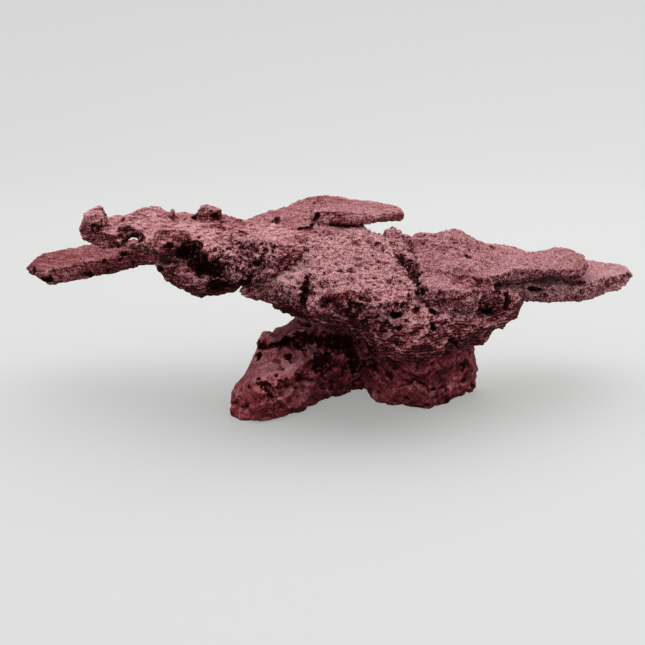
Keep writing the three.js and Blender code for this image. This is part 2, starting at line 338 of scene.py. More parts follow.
def unit_ball():
    """Points and triangles of a ball of radius 1: rings of points at even angles, and one at each pole."""
    tilt = np.repeat(np.linspace(0, math.pi, BALL_RINGS + 1)[1:-1], BALL_SIDES)
    turn = np.tile(np.arange(BALL_SIDES) * 2 * math.pi / BALL_SIDES, BALL_RINGS - 1)
    rings = np.stack([np.sin(tilt) * np.cos(turn), np.sin(tilt) * np.sin(turn), np.cos(tilt)], axis=1)
    points = np.vstack([rings, [0, 0, 1], [0, 0, -1]])
    count = len(rings)
    side = np.arange(BALL_SIDES)
    after = (side + 1) % BALL_SIDES
    top = np.stack([np.full(BALL_SIDES, count), side, after], axis=1)
    last = count - BALL_SIDES
    bottom = np.stack([np.full(BALL_SIDES, count + 1), last + after, last + side], axis=1)
    upper = (np.arange(BALL_RINGS - 2) * BALL_SIDES)[:, None]
    a, b = (upper + side).ravel(), (upper + after).ravel()
    c, d = a + BALL_SIDES, b + BALL_SIDES
    return points, np.vstack([top, bottom, np.stack([a, c, b], axis=1), np.stack([b, c, d], axis=1)])


def turned(count, seed):
    """Random turns as 3 by 3 matrices, from unit quaternions."""
    q = np.random.default_rng(seed).normal(size=(4, count))
    w, x, y, z = q / np.linalg.norm(q, axis=0)
    rows = [
        [1 - 2 * (y * y + z * z), 2 * (x * y - z * w), 2 * (x * z + y * w)],
        [2 * (x * y + z * w), 1 - 2 * (x * x + z * z), 2 * (y * z - x * w)],
        [2 * (x * z - y * w), 2 * (y * z + x * w), 1 - 2 * (x * x + y * y)],
    ]
    return np.moveaxis(np.array(rows), -1, 0)


def ragged_balls(centres, halves, turns, seed):
    """The points and triangles of closed ragged balls: the unit ball stretched, turned and put in place,
    each point then moved out or in from its ball's centre by rough noise."""
    ball, faces = unit_ball()
    arms = np.einsum("nij,nvj->nvi", turns, ball * halves[:, None, :])
    points = (centres[:, None, :] + arms).reshape(-1, 3)
    length = RAGGED_LENGTH * np.repeat(halves.min(axis=1), len(ball))[:, None]
    uneven = 1 + RAGGED_DEPTH * rough(points / length, 1.0, layers=3, seed=seed, fade=0.7)
    points = np.repeat(centres, len(ball), axis=0) + arms.reshape(-1, 3) * uneven[:, None]
    offsets = (np.arange(len(centres)) * len(ball))[:, None, None]
    return points, (faces + offsets).reshape(-1, 3)


def placed_balls(rows):
    """Centres, half sizes and turns of the balls that make each row's hollow or lump: from its start to its
    end in steps no longer than its smallest half size, none of them turned."""
    centres, halves = [np.zeros((0, 3))], [np.zeros((0, 3))]
    for start, *end, half in rows:
        start, end = np.array([start, *(end or [start])], float)
        count = 1 + math.ceil(np.linalg.norm(end - start) / min(half))
        along = np.linspace(0, 1, count)[:, None]
        centres.append(start + along * (end - start))
        halves.append(np.tile(half, (count, 1)))
    centres = np.vstack(centres)
    return MM * centres, MM * np.vstack(halves), np.tile(np.eye(3), (len(centres), 1, 1))


def by_chance(chance, shape, least, more):
    """Random values from the least to so much more."""
    return least + more * chance.random(shape)


def scattered_pores(skin, count, sizes, weight, seed):
    """Centres and half sizes of pores just under the skin, at points picked by chance and weight. The chance
    of a size is cubed, so most are small. Each pore is three balls, and the second and third are smaller and
    lie near the wall of the first."""
    chance = np.random.default_rng(seed)
    picked = chance.choice(len(skin.points), size=count, replace=False, p=weight / weight.sum())
    low, high = sizes
    size = MM * (low + (high - low) * chance.random(count) ** 3)
    centre = skin.points[picked] - PORE_SINK * size[:, None] * skin.normals[picked]
    centres = [centre]
    halves = [size[:, None] * by_chance(chance, (count, 3), *PORE_STRETCH)]
    for _ in range(PORE_BALLS - 1):
        away = chance.normal(size=(count, 3))
        away /= np.linalg.norm(away, axis=1)[:, None]
        share = by_chance(chance, (count, 1), *SIDE_SIZE)
        centres.append(centre + SIDE_PLACE * size[:, None] * away)
        halves.append(size[:, None] * share * by_chance(chance, (count, 3), *SIDE_STRETCH))
    return np.vstack(centres), np.vstack(halves)


def cutters_for(skin, rows, pores, seed):
    """The balls of a rock's placed hollows and scattered pores: their centres, half sizes and turns."""
    centres, halves, turns = placed_balls(rows)
    for number, (count, sizes, where) in enumerate(pores):
        spots, reach = scattered_pores(skin, count, sizes, where(skin), seed + number)
        centres, halves = np.vstack([centres, spots]), np.vstack([halves, reach])
        turns = np.concatenate([turns, turned(len(spots), seed + number + TURN_SEED)])
    return centres, halves, turns


def inside_hollows(points, centres, halves, turns):
    """How deep each point lies in a hollow: 0 outside and 1 well inside. In each hollow's own turned frame,
    and in half sizes, a point's distance from the centre is 1 on its wall. Rough noise makes the rims
    ragged."""
    deep = np.zeros(len(points))
    uneven = 1 + DEEP_RAGGED * rough(points, *DEEP_NOISE)
    order = np.argsort(points[:, 0])  # so that each hollow looks only at a slice of the points
    along = points[order, 0]
    reach = DEEP_REACH * halves.max(axis=1)
    first = np.searchsorted(along, centres[:, 0] - reach)
    last = np.searchsorted(along, centres[:, 0] + reach)
    for i, (centre, half, turn) in enumerate(zip(centres, halves, turns)):
        close = order[first[i] : last[i]]
        close = close[np.abs(points[close] - centre).max(axis=1) < reach[i]]
        far = uneven[close] * np.linalg.norm((points[close] - centre) @ turn / half, axis=1)
        deep[close] = np.maximum(deep[close], 1 - ramp(far, *DEEP_RIM))
    return deep


# ---------------------------------------------------------------- where the stone changes

# Places and half sizes in millimetres.
CORE_RIM = ((45, -74, 80), (62, 40, 14))
ARM_SPONGE = ((-57, -56, 112), (26, 26, 22))
PATCH_FADE = (0.6, 1.0)  # a patch fades out between these distances, in half sizes
KEEL_TOP = (74, 88)  # the keel's layers fade out between these heights
KEEL_BACK = (0, 20)  # and between these distances in front of the middle
FACES_UP = (-0.1, 0.5)  # heights of the normal between which a side passes into a top
FAINT = 0.5


def near(points, centre, half):
    """1 inside an egg shape, falling to 0 at its surface. Centre and half sizes are in millimetres."""
    return 1 - ramp(np.linalg.norm((points / MM - centre) / half, axis=1), *PATCH_FADE)


def facing_up(skin):
    """1 where the stone faces up, and 0 on its sides and underneath."""
    return ramp(skin.normals[:, UP], *FACES_UP)


def core_rim(skin):
    """The broken band under the front edge of the core's slab."""
    return near(skin.points, *CORE_RIM) * (1 - 0.8 * facing_up(skin))


def keel(skin):
    """The layered keel under the core's slab."""
    p = skin.points / MM
    return (1 - ramp(p[:, UP], *KEEL_TOP)) * (1 - 0.7 * facing_up(skin)) * ramp(-p[:, BACK], *KEEL_BACK)


def arm_sponge(skin):
    """The spongy patch on the right of the arm."""
    return near(skin.points, *ARM_SPONGE)


def everywhere(skin):
    """1 all over a rock."""
    return np.ones(len(skin.points))


def nowhere(skin):
    """0 all over a rock."""
    return np.zeros(len(skin.points))


def on_the_sides(skin):
    """Mostly on steep faces: the more level a face, the less."""
    return 0.2 + 1 - np.abs(skin.normals[:, UP])


def arm_flow(skin):
    """Where the arm's stone runs in faint lines: everywhere but in its sponge."""
    return FAINT * (1 - arm_sponge(skin))


def faintly(skin):
    """Half strength all over a rock."""
    return np.full(len(skin.points), FAINT)


# Where thin layers show in the colour of a rock.
LAYERED = {
    "core_rock": keel,
    "arm_left": arm_flow,
    "shelf_left_back": faintly,
    "shelf_back_left": faintly,
    "shelf_back_right": faintly,
}

# The hollows of each rock in millimetres: where each starts, where it ends unless it is round, and its half
# sizes along X, Y and Z. Each is cut into the skin, and the colour paints its inside dark as shade.
HOLLOWS = {
    "core_rock": (
        ((-21.0, -63, 96.5), (-22.8, -64, 84.5), (2.3, 8, 3)),  # the upright slit
        ((5.5, -89, 88), (9, -89, 88), (2.4, 5, 2.4)),
        ((32.3, -79, 80.6), (3.2, 6, 3.2)),  # holes in a row under the edge
        ((44.3, -77, 82.5), (2.2, 4, 2.2)),
        ((54.4, -73, 79.6), (2.6, 4, 2.2)),
        ((92.7, -36, 72.5), (4, 8, 3.6)),
        ((66, -68, 60), (3.4, 6, 3)),
        ((70, -63, 58), (75, -60, 58), (3, 5, 1.4)),
        ((71, -57, 54.5), (3, 4, 2.6)),
        ((106, -33, 78), (106, -33, 76), (3, 4, 5)),
        ((39, -6, 104), (49, -64, 91), (3.6, 5, 5)),  # the crevice along the slab's right edge
        ((40.5, -24, 101), (42, -30, 100), (4, 5, 5)),
        ((89, -31, 83.5), (99, -32, 84), (3, 6, 1.6)),
    ),
    "arm_left": (
        ((-126.5, -58, 121), (-133.3, -15, 113), (4.4, 4, 1.9)),  # the gap that the light shows through
        ((-98, -51, 113), (-90, -53, 109), (5, 8, 4)),  # the main cave, slanting down to the right
        ((-91, -53, 109), (-87, -50, 101), (4.5, 8, 4)),
        ((-86, -50, 103), (-76, -46, 97), (4, 7, 3.4)),
        ((-78, -46, 90), (-72, -44, 91), (6, 8, 4)),
        ((-66, -43, 93), (-54, -42, 92.5), (5, 7, 3.6)),
        ((-82, -55, 112), (-82, -55, 108), (2.2, 6, 4)),
        ((-152, -52, 125), (-152, -52, 121), (1.3, 3, 2.5)),
    ),
    "shelf_right": (
        ((45, -34, 94), (52, -60, 87), (3.4, 5, 5)),  # along the core's slab
        ((60, -60, 92), (66, -55, 92), (2, 3, 2)),
        ((104, -34, 85), (166, -15, 86), (4, 8, 3)),  # the plate's broken underside
    ),
    "shelf_right_back": (
        ((126, 3, 78), (134, 3, 78), (4, 6, 2.6)),
        ((153, -1, 82), (161, -1, 82), (3, 5, 1.6)),
    ),
    "shelf_left_back": (
        ((-196, 0, 84), (-193, 0, 84), (2, 3, 2)),
    ),
    "shelf_back_left": (
        ((-44.8, 43, 115), (3.2, 5, 2.6)),
        ((-31, 35, 111.5), (-20, 35, 112.3), (2.5, 4, 0.9)),
        ((-14.6, 43, 120), (-19, 40, 114), (1.2, 3, 2)),  # the foot of the crack between the two back shelves
    ),
    "shelf_back_right": (
        ((-14.6, 43, 120), (-19, 40, 114), (1.2, 3, 2)),
        ((-7, 39, 112.5), (9, 39, 112.5), (2.4, 4, 1.5)),  # the slot over the wedge
    ),
    "wedge_back": (((5, 33, 112), (6, 33, 112), (1.5, 1.5, 1.5)),),
    "foot_left": (
        ((-43, -20, 43.5), (-37, -16, 44), (3.5, 4, 1.6)),  # the black band under the core: cut, and painted dark inside as shade
        ((-34, -13, 44), (-25, -11, 43), (5, 8, 4.5)),
        ((-26, -9, 45), (-12, -8, 44.5), (5, 9, 4)),
        ((-12, -6, 44), (8, -2, 38), (5, 9, 5.5)),
        ((6, 4, 38), (10, 2, 24), (4, 7, 6)),  # the gap between the feet
        ((-34, -26, 36.5), (2.6, 2.6, 2.6)),
        ((-48, -51, 27), (-45, -50, 22), (2.6, 3, 2.6)),
        ((-22.8, -37, 30), (3, 5, 3.5)),
        ((5, -9, 22), (3.4, 6, 3.4)),
        ((-14, -19, 30), (-10, -18, 31), (4, 6, 6)),
    ),
    "foot_right": (
        ((19, -3, 37), (22, -6, 26), (3.5, 6, 6)),  # the gap between the feet
        ((29, -16, 21), (5, 3, 4)),
        ((83, -9, 25.5), (2.4, 3, 3.6)),
        ((85, -4, 14), (2.2, 2.6, 2.2)),
    ),
}

# The crack between the two back shelves, which is cut into both.
BACK_CRACK = (
    ((-10, 90, 130), (-15, 74, 127), (0.8, 3, 1.6)),
    ((-15, 74, 127), (-11, 60, 125), (0.9, 3, 1.6)),
    ((-11, 60, 125), (-15, 45, 123), (0.8, 3, 1.6)),
)

# Open breaks, which lie in the light, in the same form as the hollows.
BREAKS = {
    "core_rock": (
        ((-23, -33, 102.5), (-17, -30, 103), (4, 4, 2)),  # crumbled places on the top
        ((-18, -26, 104.5), (-13, -24, 104.5), (3, 4, 2)),
        ((6, -39, 98), (12, -38, 98), (4, 4, 2.2)),
        ((10, -76, 94.8), (16, -74, 94.8), (3.4, 4, 2.4)),
        ((29, -60, 95), (35, -58, 95), (3, 4, 2)),
        ((22, 6, 106.5), (27, -5, 104), (4, 6, 2.6)),
        ((2, -70, 96), (8, -68, 96), (3, 3, 1.8)),
        ((-14, -66, 94.5), (-10, -64, 95), (3, 4, 2.6)),
        ((-14, -55, 99.4), (-9, -53, 99.4), (3, 3, 1.8)),
        ((14, -89, 91.5), (20, -87, 92), (3, 3, 2.2)),
        ((-4, -86, 93), (1, -85, 93.4), (3, 3, 2)),
        ((-6, 0, 109), (-2, 2, 109), (4, 3, 1.8)),
        ((-8, -90, 86.5), (14, -91, 86.5), (3.4, 3, 2)),  # the slab's broken front edge
        ((20, -92, 86), (40, -88, 87), (4, 3, 2.2)),
    ),
    "arm_left": (((-135, -46, 111.5), (-121, -60, 112.5), (7, 13, 5.5)),),  # under the gap
    "shelf_right": (
        ((106, -37, 91), (134, -30, 91), (5, 8, 6)),
        ((134, -30, 91), (168, -24, 91), (6, 8, 6)),
    ),
    "shelf_right_back": (
        ((112, -15, 75), (150, -14, 75), (6, 8, 8)),
        ((152, -14, 75), (172, -6, 76), (5, 8, 8)),
        ((178, 0, 76), (208, 34, 78), (6, 8, 8)),
    ),
    "shelf_left_back": (
        ((-206, -10, 87), (-180, -8, 86), (6, 8, 9)),
        ((-172, -2, 88), (-128, 14, 92), (7, 8, 9)),
        ((-150, 54, 104.5), (-140, 54, 105), (8, 16, 5)),  # a low place behind the arm's gap
    ),
    "shelf_back_right": BACK_CRACK,
    "shelf_back_left": (*BACK_CRACK, ((-40, 6, 108), (-22, 8, 112), (6, 6, 5))),
    "foot_left": (
        ((-72, -52, 34), (-60, -58, 30), (9, 9, 7)),
        ((-34, -50, 22), (-22, -34, 22), (9, 9, 8)),
    ),
    "foot_right": (((36, -34, 34), (44, -36, 34), (9, 7, 9)),),
}

# How much lighter or darker a rock is drawn than the others of its kind: the left back shelf darker as
# painted shade of the arm, the right back shelf lighter as painted light in the right shelf's shadow.
ROCK_DUST_AND_PAINTED_SHADE = {"shelf_left_back": -0.2, "shelf_right_back": 0.12, "foot_right": -0.05}

# Patches on a rock that are drawn lighter or darker, many of them as painted light or shade: their places,
# half sizes in millimetres, and how much.
DUST_AND_PAINTED_SHADE_PATCHES = {
    "core_rock": (
        ((-1, -83, 91), (27, 10, 6), -0.9),  # painted shade on the face under the slab's front edge
        ((27, -82, 77), (22, 9, 7), 0.4),  # the ledge on top of the keel
        ((-31, -47, 97), (12, 16, 9), 0.6),  # beside the arm
        ((94, -40, 78), (13, 12, 8), -0.5),  # painted shade under the right shelf
    ),
    "foot_left": (((-30, -36, 33), (15, 11, 6), 0.27),),  # painted light on the knob's lit facet
    "arm_left": (
        ((-92, -62, 98), (17, 14, 9), 0.12),
        ((-44, -48, 98), (8, 9, 8), 0.4),
        ((-56, -55, 117), (13, 10, 7), -0.45),  # the edge of the sponge
        ((-80, -55, 107), (14, 14, 9), -0.6),  # painted shade round the main cave
        ((-150, -53, 131), (11, 11, 9), 0.15),  # the knob at its end
        ((-130, -46, 114), (18, 20, 9), -0.3),  # painted shade under the gap
        # painted shade on the arm's front beside the gap
        ((-114, -54, 109), (10, 14, 8), -0.2),
    ),
    # painted shade on the shaded faces of the lump
    "shelf_right": (((62, -60, 86), (20, 16, 9), -0.25), ((78, -54, 91), (22, 12, 7), -0.3)),
    # painted light on the plate's front face
    "shelf_left_back": (((-168, -8, 86), (52, 20, 8), 0.26),),
    # painted light on the plate's front face
    "shelf_back_right": (((22, 36, 118), (46, 12, 6), 0.28),),
    # painted light on the plate's front face, in the right shelf's shadow
    "shelf_right_back": (((154, -12, 77), (60, 20, 9), 0.15),),
    "foot_right": (((48, -18, 44), (44, 26, 14), -0.25), ((80, -9, 16), (12, 14, 12), 0.4)),
}

# Small lumps too fine for the solids, in the same form as the hollows.
LUMPS = {
    "wedge_back": (
        ((-14, 34, 110), (-6, 35, 111), (4, 4, 2.6)),  # rubble between the back shelves
        ((-11, 40, 114), (-10, 40, 116), (2.6, 3, 2.6)),
    ),
    "arm_left": (
        ((-107.5, -20, 131), (-107.5, -20, 133), (1.6, 2, 1.6)),
        ((-105, -52, 103), (-98, -52, 102), (6, 7, 4)),  # ledges inside the caves
        ((-83, -56, 113), (-76, -58, 113), (4, 6, 3.5)),
        ((-88, -45, 98), (-80, -44, 100), (4, 5, 2.6)),
        ((-100, -45, 109), (-96, -44, 107), (4, 5, 2.6)),
    ),
    "shelf_right": (  # the lump's foot, which runs down onto the core's keel
        ((54, -62, 84), (76, -56, 84), (8, 9, 6)),
        ((78, -50, 89), (90, -42, 90), (7, 8, 5)),
    ),
}

# The pores scattered over each rock: how many, their least and greatest radius in millimetres, and where.
PORES = {
    "core_rock": ((60, (0.8, 2.2), on_the_sides), (40, (0.9, 2.4), core_rim)),
    "arm_left": ((80, (0.8, 2.4), on_the_sides), (130, (0.5, 1.3), arm_sponge)),
    "shelf_right": ((40, (0.7, 1.7), everywhere),),
    "shelf_right_back": ((30, (0.7, 2.0), on_the_sides),),
    "shelf_left_back": ((40, (0.7, 2.0), on_the_sides),),
    "shelf_back_left": ((25, (0.7, 1.6), on_the_sides),),
    "shelf_back_right": ((12, (0.7, 1.4), on_the_sides),),
    "wedge_back": ((10, (0.7, 1.4), on_the_sides),),
    "foot_left": ((36, (1.0, 3.4), everywhere),),
    "foot_right": ((30, (0.9, 3.0), everywhere),),
}

# ---------------------------------------------------------------- kinds of stone

# A shape or a grain is a sum of terms, each a depth in millimetres times a noise from about -1 to 1. What
# the noise is given is its length, how many layers it has, and its seed. Where places are stretched along
# an axis, the noise is shorter along it.
PIT_SLOPE = 0.22  # how far over the threshold the noise has to be for a pit to be full
LUMP_END = (78 * MM, 100 * MM)  # the right shelf turns from a lump to a plate between these places along X
LIP = (92.5 * MM, 95.5 * MM)  # heights where its front edge steps out
LIP_DEPTHS = (2.2, 1.2)  # how far it steps, and how far its lower face is set back, in millimetres


def pits(points, length, threshold, seed):
    """Ragged pits from 0 to 1, steep at the rim, where rough noise is over a threshold. The higher it is,
    the fewer and smaller the pits are."""
    bent = swirled(points, length, 0.35 * length, seed)
    return ramp(rough(bent, length, 3, seed + 3, 0.6), threshold, threshold + PIT_SLOPE)


def core_shape(skin):
    """Low swells on the top of the core, and crags on its steep faces, squashed along Z."""
    p = skin.points
    top = facing_up(skin)
    bent = swirled(p, 14 * MM, 3 * MM, 21)
    height = 1.3 * MM * rough(p, 24 * MM, 2, 11)
    height += (1 - 0.75 * top) * 2.4 * MM * crags(bent * (1, 1, 1.7), 15 * MM, 3, 31, 0.5)
    height += top * 1.3 * MM * rough(bent, 9 * MM, 3, 23, 0.65)
    height += top * MM * (1.4 * crags(bent, 8 * MM, 3, 28, 0.6) - 1.8 * pits(p, 8 * MM, 0.3, 48))
    return height - 2.2 * MM * core_rim(skin) * pits(p, 7 * MM, 0.1, 41)


def arm_shape(skin):
    """Sweeping ridges that run along the arm, and hollows between them."""
    p = skin.points
    bent = swirled(p, 18 * MM, 4 * MM, 24)
    height = 1.2 * MM * rough(p, 22 * MM, 2, 15)
    height += 2.2 * MM * crags(bent * (0.55, 1, 1.2), 14 * MM, 3, 34, 0.45)
    height += 0.7 * MM * rough(p, 6 * MM, 3, 16, 0.65)
    return height - 1.8 * MM * (0.4 + arm_sponge(skin)) * pits(p, 6 * MM, 0.3, 42)


def lump_shape(skin):
    """Shelf stone whose left half is a craggy lump. Its plate's front edge is a lip over a set-back face."""
    p = skin.points
    step, set_back = LIP_DEPTHS
    lump = 1 - ramp(p[:, 0], *LUMP_END)
    height = lump * 1.9 * MM * crags(swirled(p, 12 * MM, 3 * MM, 26) * (0.8, 1, 1.6), 13 * MM, 3, 35, 0.5)
    height += lump * 0.8 * MM * rough(p, 6 * MM, 3, 19, 0.7)
    front = (1 - lump) * ramp(-skin.normals[:, BACK], 0.3, 0.7)
    height += front * MM * (step * ramp(p[:, UP], *LIP) - set_back)
    return height + shelf_shape(skin)


def shelf_shape(skin):
    """Low swells on the faces of shelf stone, and broken edges, fluted along Z."""
    p = skin.points
    edge = 1 - ramp(np.abs(skin.normals[:, UP]), 0.3, 0.75)
    height = 0.6 * MM * rough(p, 20 * MM, 3, 12)
    height += edge * 1.1 * MM * crags(p * (1, 1, 0.5), 8 * MM, 3, 32, 0.55)
    return height + 0.5 * MM * rough(p, 5 * MM, 2, 17)


def foot_shape(skin):
    """Broad, nearly flat facets with sharp ribs and ragged dents between them."""
    p = skin.points
    bent = swirled(p, 10 * MM, 2 * MM, 25)
    height = 1.4 * MM * rough(p, 26 * MM, 2, 13)
    height += 2.6 * MM * crags(bent, 24 * MM, 2, 33, 0.3) + 0.6 * MM * rough(p, 6 * MM, 3, 14, 0.65)
    return height - 2.4 * MM * pits(p, 10 * MM, 0.3, 43)


def core_grain(skin):
    """Crumble in patches over a sharp grain, and thin layers on the steep faces of the keel."""
    p = skin.points
    layered = keel(skin)
    patch = 0.35 + 0.65 * ramp(rough(p, 14 * MM, 2, 64), -0.3, 0.3)
    bent = swirled(p, 3.4 * MM, 1.7 * MM, 27)
    height = (1 - 0.7 * layered) * patch * 1.0 * MM * crags(bent, 5.2 * MM, 3, 61, 0.7)
    height += (1 - 0.5 * layered) * 0.6 * MM * rough(p, 2.6 * MM, 2, 69, 0.8)
    height += layered * 0.7 * MM * strata(p, 3.0 * MM, 63)
    return height - (1 - 0.8 * layered) * (1 - 0.5 * facing_up(skin)) * 0.9 * MM * pits(p, 3.2 * MM, 0.25, 44)


def arm_grain(skin):
    """A sharp grain with faint flow lines, and sponge in one patch."""
    p = skin.points
    spongy = arm_sponge(skin)
    height = (0.5 + 0.5 * spongy) * MM * rough(p, 2.8 * MM, 2, 66, 0.8)
    height += (1 - spongy) * 0.3 * MM * strata(p, 3.4 * MM, 67)
    return height - (0.2 + 0.8 * spongy) * MM * pits(p, 2.6 * MM, 0.3, 45)


def shelf_grain(skin):
    """The sharp, even grain of shelf stone."""
    p = skin.points
    return 0.6 * MM * rough(p, 2.8 * MM, 2, 71, 0.8) - 0.5 * MM * pits(p, 3.4 * MM, 0.4, 46)


def foot_grain(skin):
    """The nearly smooth face of foot stone."""
    p = skin.points
    return 0.3 * MM * rough(p, 4 * MM, 3, 81, 0.7) - 0.6 * MM * pits(p, 4 * MM, 0.45, 47)


# ---------------------------------------------------------------- carving

FIRST_STEP = 1.1 * MM  # side of the quads that take a rock's shape, before the cuts
CUTTER_STEP = 0.6 * MM  # and of the hollows' skin
MOST_TRIANGLES = 190000  # in one rock's skin
SEEDS_APART = 7  # between one rock's seeds and the next's
LUMP_SEED, PORE_SEED, RAGGED_SEED, DUST_AND_SHADE_SEED = 400, 500, 600, 700
DEEP_CALM = 0.5  # how much weaker the grain is deep in a hollow
DUST_AND_SHADE_DRIFT = (9 * MM, 5 * MM)  # length and reach of the noise that makes the rims of the patches of dust and painted light and shade ragged

# What the stone's colour takes from the relief: painted shade where the stone lies below its surroundings
# (hollow for small pits, cave for broader hollows), and crests drawn lighter. The columns: the turns of
# averaging that each point is set against, 1 for below its surroundings or -1 for above them, and the depths
# or heights where it starts and is full.
RELIEF_MARKS = {
    "hollow": (3, 1, 0.0, 0.3 * MM),
    "cave": (40, 1, 0.2 * MM, 2.2 * MM),
    "crest": (6, -1, 0.0, 0.5 * MM),
}

# How each rock is carved: its shape, its grain, and the turns of smoothing that take the solid's facets out.
CARVINGS = {
    "core_rock": (core_shape, core_grain, 3),
    "shelf_right": (lump_shape, shelf_grain, 1),
    "arm_left": (arm_shape, arm_grain, 3),
    "foot_left": (foot_shape, foot_grain, 1),
    "foot_right": (foot_shape, foot_grain, 1),
}
SHELF_CARVING = (shelf_shape, shelf_grain, 1)


def carved_skin(node, step, relief):
    """The skin of one rock and its hollows, whose insides the colour paints dark as shade: its solid's even
    skin, shaped, cut by its hollows, pores and breaks, made even again, and grained."""
    shape, grain, smoothing = CARVINGS.get(node, SHELF_CARVING)
    seed = SEEDS_APART * sorted(HOLLOWS).index(node)
    lumpy = with_lumps(merged_copy(node), LUMPS.get(node, ()), LUMP_SEED + seed)
    skin = Skin(remeshed(lumpy, FIRST_STEP))
    skin.smooth(smoothing)
    skin.raise_by(relief * shape(skin))
    hollows_with_painted_shade = cutters_for(skin, HOLLOWS[node], PORES[node], PORE_SEED + seed)
    balls = [np.concatenate(both) for both in zip(hollows_with_painted_shade, placed_balls(BREAKS.get(node, ())))]
    cutters = mesh_of("cutters", *ragged_balls(*balls, RAGGED_SEED + seed))
    skin = Skin(remeshed(cut(skin.mesh, remeshed(cutters, CUTTER_STEP)), step))
    skin.smooth(1)
    deep = inside_hollows(skin.points, *hollows_with_painted_shade)
    skin.raise_by(relief * (1 - DEEP_CALM * deep) * grain(skin))
    skin.points[:, UP] = skin.points[:, UP].clip(0, None)  # nothing reaches below the floor
    skin.write()
    count = 2 * len(skin.mesh.polygons)
    if count > MOST_TRIANGLES:
        skin = Skin(shown_mesh(skin.mesh, "DECIMATE", ratio=MOST_TRIANGLES / count))
    return skin, hollows_with_painted_shade


def dust_and_painted_shade_on(skin, node):
    """How much lighter or darker each point is drawn, by dust and painted light and shade: the rock's own
    amount and that of its patches, added.
    """
    seed = SEEDS_APART * sorted(HOLLOWS).index(node)
    drifted = swirled(skin.points, *DUST_AND_SHADE_DRIFT, DUST_AND_SHADE_SEED + seed)
    patches = [amount * near(drifted, *place) for *place, amount in DUST_AND_PAINTED_SHADE_PATCHES.get(node, ())]
    return sum(patches, np.full(len(skin.points), ROCK_DUST_AND_PAINTED_SHADE.get(node, 0.0)))


def carve_rock(node, stone, step, relief):
    """Adds the carved skin of one rock, which stands for its solid, and keeps on it what its colour reads."""
    skin, hollows_with_painted_shade = carved_skin(node, step, relief)
    # deep: how far each point lies inside a hollow or pore, which the colour turns dark as painted shade
    skin.keep("deep", inside_hollows(skin.points, *hollows_with_painted_shade))
    skin.keep("layered", LAYERED.get(node, nowhere)(skin))
    # how much lighter or darker each point is drawn: dust, and painted light and shade
    skin.keep("dust_and_painted_shade", dust_and_painted_shade_on(skin, node))
    for name, (turns, side, low, high) in RELIEF_MARKS.items():
        skin.keep(name, ramp(side * skin.hollow(turns), low, high))
    # up: the colour draws faces that point up lighter, partly as dust and partly as painted light, and sides
    # and undersides darker as painted shade
    skin.keep("up", skin.normals[:, UP])
    skin.mesh.name = node + "_skin"
    skin.mesh.materials.clear()
    skin.mesh.materials.append(bpy.data.materials[stone + "_stone"])
    skin.mesh.shade_smooth()
    rock = added(node + "_skin", skin.mesh)
    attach(rock, "root")
    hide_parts(node)


# ---------------------------------------------------------------- materials

# Each kind of stone: its mean tone, how strongly the tone varies, how speckled it is, and the tint over it.
STONES = {
    "rough_rock": (0.42, 1.5, 1.1, (1.0, 0.94, 0.95)),
    "shelf_rock": (0.46, 1.0, 1.2, (1.0, 0.96, 0.98)),
    "foot_rock": (0.28, 1.3, 0.3, (1.0, 0.84, 0.88)),
}
# The tones between which one colour passes into the next.
TO_DYE = (-0.1, 0.3)
TO_ROSE = (0.3, 0.6)
TO_DUST = (0.6, 1.4)
LINE_STEP = 1.9 * MM  # between the lines of layered stone
WAVE_RATE = 20  # radians that a wave texture's bands turn by in each unit of its scaled places
STONE_ROUGHNESS = 0.95
STONE_GLOSS = 0.12
BUMP_DEPTH = 1.8 * MM  # for stone whose speckle is 1


class Wire:
    """A shader socket whose operators add Math nodes."""

    def __init__(self, nodes, socket):
        self.nodes = nodes
        self.socket = socket

    def _math(self, operation, *values):
        return self.nodes.node("ShaderNodeMath", {"operation": operation}, dict(enumerate(values)))

    def __add__(self, other):
        return self._math("ADD", self, other)

    def __sub__(self, other):
        return self._math("SUBTRACT", self, other)

    def __rsub__(self, other):
        return self._math("SUBTRACT", other, self)

    def __mul__(self, other):
        return self._math("MULTIPLY", self, other)

    __radd__ = __add__
    __rmul__ = __mul__


class ShaderNodes:
    """A material's nodes, made one by one."""

    def __init__(self, material):
        """Starts an empty tree."""
        material.use_nodes = True
        self.tree = material.node_tree
        self.tree.nodes.clear()

    def node(self, kind, settings=(), values=(), output=0):
        """Adds a node: its settings first, then its sockets' values or links. Returns the wire of one output,
        if it has any."""
        made = self.tree.nodes.new(kind)
        for name, value in dict(settings).items():
            setattr(made, name, value)
        for name, value in dict(values).items():
            if isinstance(value, Wire):
                self.tree.links.new(value.socket, made.inputs[name])
            else:
                made.inputs[name].default_value = value
        return Wire(self, made.outputs[output]) if made.outputs else None

    def attribute(self, name):
        """A value kept on the mesh."""
        return self.node("ShaderNodeAttribute", {"attribute_name": name}, output="Fac")

    def speckle(self, place, length, detail=2.0, distortion=0.0):
        """Noise from 0 to 1 of the given length."""
        values = {"Vector": place, "Scale": 1 / length, "Detail": detail, "Distortion": distortion}
        return self.node("ShaderNodeTexNoise", {}, values, output="Fac")

    def between(self, value, low, high):
        """0 below low, 1 above high, even between."""
        values = {"Value": value, "From Min": low, "From Max": high}
        return self.node("ShaderNodeMapRange", {}, values)

    def surface(self, values):
        """A plain surface, which is what the material shows."""
        shown = self.node("ShaderNodeBsdfPrincipled", {}, values)
        self.node("ShaderNodeOutputMaterial", {}, {"Surface": shown})

    def mixed(self, share, first, second, blend="MIX"):
        """A colour mix. Sockets 6 and 7 are the Mix node's colours, and output 2 its colour."""
        settings = {"data_type": "RGBA", "blend_type": blend}
        return self.node("ShaderNodeMix", settings, {0: share, 6: first, 7: second}, output=2)


